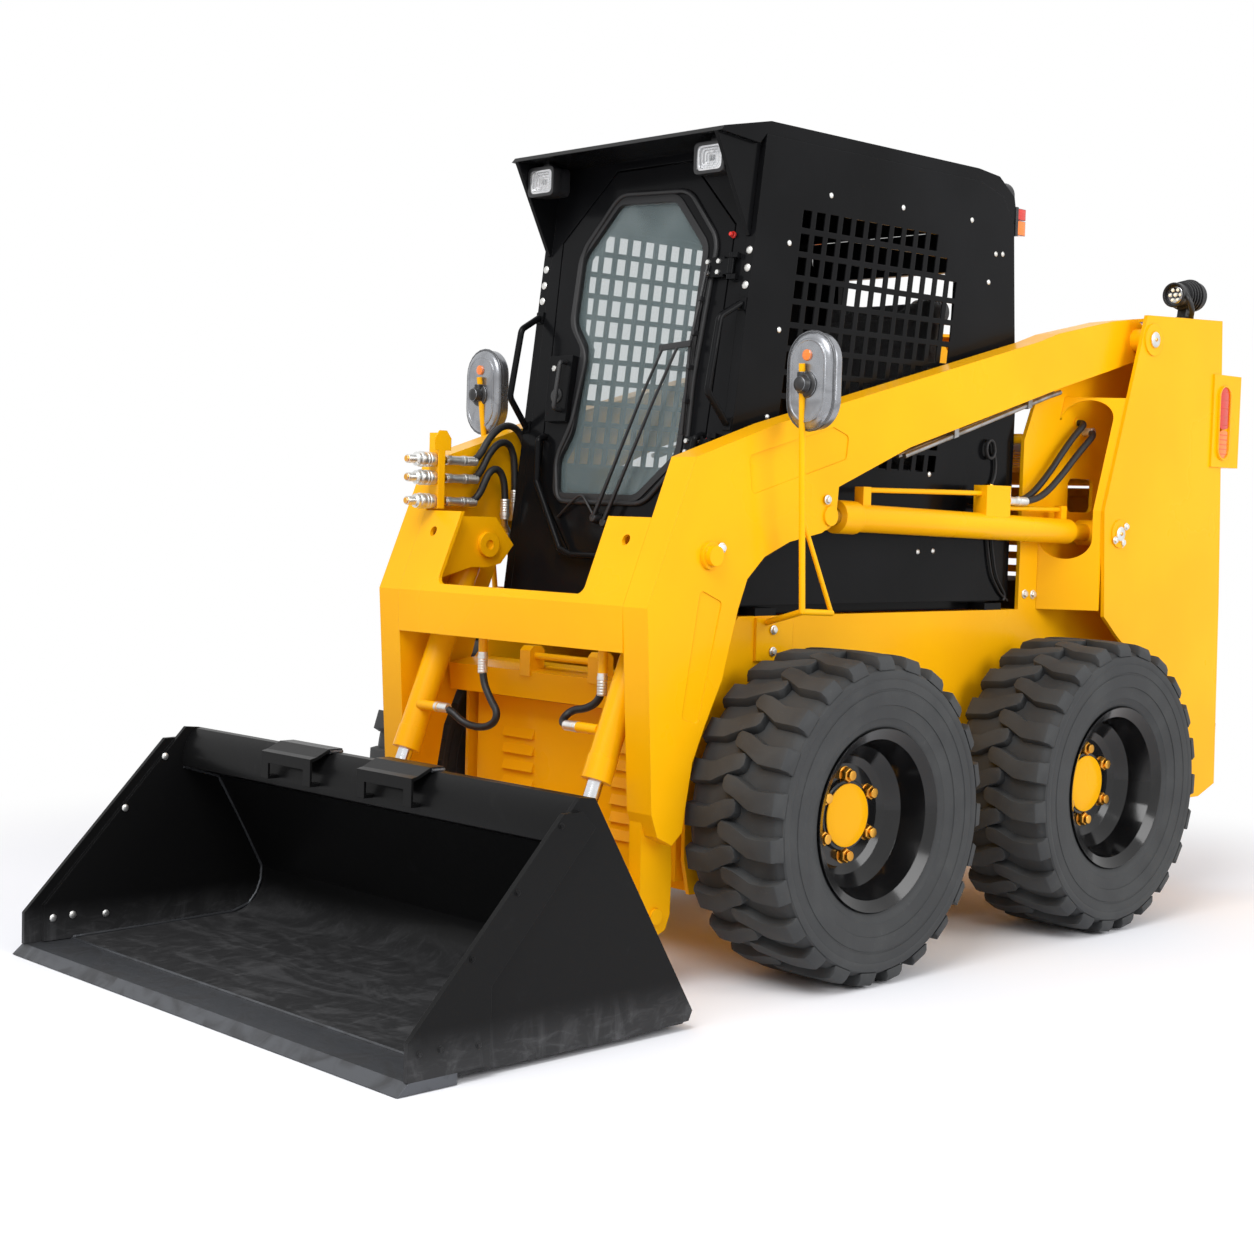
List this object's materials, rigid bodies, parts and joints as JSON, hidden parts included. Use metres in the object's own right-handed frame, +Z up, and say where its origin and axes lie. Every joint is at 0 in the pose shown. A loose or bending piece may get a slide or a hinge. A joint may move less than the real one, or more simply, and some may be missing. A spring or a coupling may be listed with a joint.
{
  "type": "skid steer loader",
  "caption": "Skid steer loader with a closed cab, lift arms hinged on rear towers, a digging bucket on a quick attach frame, hydraulic cylinders and deep treaded tyres.",
  "frame": {"origin": "on the ground under the middle of the machine's overall box", "axes": "+Z up, -Y towards the bucket, +X to the machine's left"},
  "size_m": [1.59, 3.536, 2.1699],
  "materials": {
    "black_paint": "satin black enamel",
    "bucket_paint": "black enamel, scuffed",
    "cab_trim": "dark grained plastic",
    "cast_iron": "bare castings",
    "chrome_rod": "hard chrome",
    "glass": "clear pane",
    "hose_rubber": "black hose",
    "lamp": "black lamp housings",
    "rim_paint": "gloss black enamel",
    "seat_cover": "black seat cloth",
    "steel_pipe": "plated pipe",
    "tyre_rubber": "black rubber",
    "worn_steel": "worn bare steel",
    "yellow_paint": "glossy yellow machine enamel"
  },
  "bodies": {
    "root": {"chassis_frame": "yellow_paint", "lift_towers": "yellow_paint", "rear_bumper": "black_paint", "engine_block": "cast_iron", "axles": "cast_iron", "front_panel": "yellow_paint", "cab_floor": "black_paint", "cab_sides": "black_paint", "cab_roof": "black_paint", "cab_rear_wall": "black_paint", "cab_front_frame": "black_paint", "seat_base": "cab_trim", "seat_cushion": "seat_cover", "seat_back": "seat_cover", "control_levers": "cab_trim", "safety_bar": "black_paint", "grab_handles": "black_paint", "mirrors": "black_paint", "tail_lamps": "yellow_paint", "work_lamps": "lamp"},
    "lift_arms": {"left_lift_arm": "yellow_paint", "right_lift_arm": "yellow_paint", "cross_plate": "yellow_paint", "coupler_bracket": "yellow_paint", "arm_pipes": "steel_pipe", "left_tilt_hose": "hose_rubber", "right_tilt_hose": "hose_rubber", "upper_coupler_hose": "hose_rubber", "middle_coupler_hose": "hose_rubber", "lower_coupler_hose": "hose_rubber"},
    "bucket": {"attach_frame": "yellow_paint", "bucket_shell": "bucket_paint", "bucket_sides": "bucket_paint", "cutting_edge": "worn_steel", "bucket_steps": "bucket_paint"},
    "cab_door": {"cab_door": "black_paint", "door_glass": "glass"},
    "engine_hood": {"engine_hood": "yellow_paint"},
    "rear_door": {"rear_door": "yellow_paint"},
    "left_lift_barrel": {"left_lift_barrel": "yellow_paint", "left_lift_hose_upper": "hose_rubber", "left_lift_hose_lower": "hose_rubber"},
    "left_lift_rod": {"left_lift_rod": "chrome_rod"},
    "left_tilt_barrel": {"left_tilt_barrel": "yellow_paint"},
    "left_tilt_rod": {"left_tilt_rod": "chrome_rod"},
    "front_left_wheel": {"front_left_tyre": "tyre_rubber", "front_left_rim": "rim_paint"},
    "rear_left_wheel": {"rear_left_tyre": "tyre_rubber", "rear_left_rim": "rim_paint"},
    "right_lift_barrel": {"right_lift_barrel": "yellow_paint", "right_lift_hose_upper": "hose_rubber", "right_lift_hose_lower": "hose_rubber"},
    "right_lift_rod": {"right_lift_rod": "chrome_rod"},
    "right_tilt_barrel": {"right_tilt_barrel": "yellow_paint"},
    "right_tilt_rod": {"right_tilt_rod": "chrome_rod"},
    "front_right_wheel": {"front_right_tyre": "tyre_rubber", "front_right_rim": "rim_paint"},
    "rear_right_wheel": {"rear_right_tyre": "tyre_rubber", "rear_right_rim": "rim_paint"}
  },
  "joints": [
    {"name": "arm_lift", "type": "hinge", "parent": "root", "child": "lift_arms", "pos_m": [0, 1.203, 1.719], "axis": [-1, 0, 0], "range_deg": [0, 70.6]},
    {"name": "bucket_tilt", "type": "hinge", "parent": "lift_arms", "child": "bucket", "pos_m": [0, -0.746, 0.185], "axis": [1, 0, 0], "range_deg": [-30, 110]},
    {"name": "left_lift_swing", "type": "hinge", "parent": "root", "child": "left_lift_barrel", "pos_m": [0.478, 1.061, 1.134], "axis": [-1, 0, 0], "range_deg": [0, 64.37]},
    {"name": "left_lift_extend", "type": "slide", "parent": "left_lift_barrel", "child": "left_lift_rod", "axis": [0, -0.9997, 0.0247], "range_m": [0, 0.685]},
    {"name": "left_tilt_swing", "type": "hinge", "parent": "lift_arms", "child": "left_tilt_barrel", "pos_m": [0.372, -0.636, 1.061], "axis": [1, 0, 0], "range_deg": [-1.63, 5.72]},
    {"name": "left_tilt_extend", "type": "slide", "parent": "left_tilt_barrel", "child": "left_tilt_rod", "axis": [0, -0.3709, -0.9287], "range_m": [-0.0995, 0.362]},
    {"name": "front_left_wheel_spin", "type": "hinge", "parent": "root", "child": "front_left_wheel", "pos_m": [0.6365, -0.2635, 0.4155], "axis": [1, 0, 0], "continuous": true},
    {"name": "rear_left_wheel_spin", "type": "hinge", "parent": "root", "child": "rear_left_wheel", "pos_m": [0.6365, 0.8035, 0.4155], "axis": [1, 0, 0], "continuous": true},
    {"name": "right_lift_swing", "type": "hinge", "parent": "root", "child": "right_lift_barrel", "pos_m": [-0.478, 1.061, 1.134], "axis": [-1, 0, 0], "range_deg": [0, 64.37]},
    {"name": "right_lift_extend", "type": "slide", "parent": "right_lift_barrel", "child": "right_lift_rod", "axis": [0, -0.9997, 0.0247], "range_m": [0, 0.685]},
    {"name": "right_tilt_swing", "type": "hinge", "parent": "lift_arms", "child": "right_tilt_barrel", "pos_m": [-0.372, -0.636, 1.061], "axis": [1, 0, 0], "range_deg": [-1.63, 5.72]},
    {"name": "right_tilt_extend", "type": "slide", "parent": "right_tilt_barrel", "child": "right_tilt_rod", "axis": [0, -0.3709, -0.9287], "range_m": [-0.0995, 0.362]},
    {"name": "front_right_wheel_spin", "type": "hinge", "parent": "root", "child": "front_right_wheel", "pos_m": [-0.6365, -0.2635, 0.4155], "axis": [1, 0, 0], "continuous": true},
    {"name": "rear_right_wheel_spin", "type": "hinge", "parent": "root", "child": "rear_right_wheel", "pos_m": [-0.6365, 0.8035, 0.4155], "axis": [1, 0, 0], "continuous": true},
    {"name": "cab_door_swing", "type": "hinge", "parent": "root", "child": "cab_door", "pos_m": [0.339, -0.46245, 1.33157], "axis": [0, 0.1304, 0.9915], "range_deg": [0, 65]},
    {"name": "engine_hood_lift", "type": "hinge", "parent": "root", "child": "engine_hood", "pos_m": [0, 0.789, 1.404], "axis": [1, 0, 0], "range_deg": [0, 55]},
    {"name": "rear_door_swing", "type": "hinge", "parent": "root", "child": "rear_door", "pos_m": [-0.424, 1.67, 0.9], "axis": [0, 0, 1], "range_deg": [0, 95]}
  ],
  "couplings": [
    {"joint": "left_lift_swing", "follows": "arm_lift", "ratio": 0.9088},
    {"joint": "left_lift_extend", "follows": "arm_lift", "m_per_rad": 0.55415},
    {"joint": "left_tilt_swing", "follows": "bucket_tilt", "ratio": 0.0511},
    {"joint": "left_tilt_extend", "follows": "bucket_tilt", "m_per_rad": 0.18804},
    {"joint": "right_lift_swing", "follows": "arm_lift", "ratio": 0.9088},
    {"joint": "right_lift_extend", "follows": "arm_lift", "m_per_rad": 0.55415},
    {"joint": "right_tilt_swing", "follows": "bucket_tilt", "ratio": 0.0511},
    {"joint": "right_tilt_extend", "follows": "bucket_tilt", "m_per_rad": 0.18804}
  ]
}
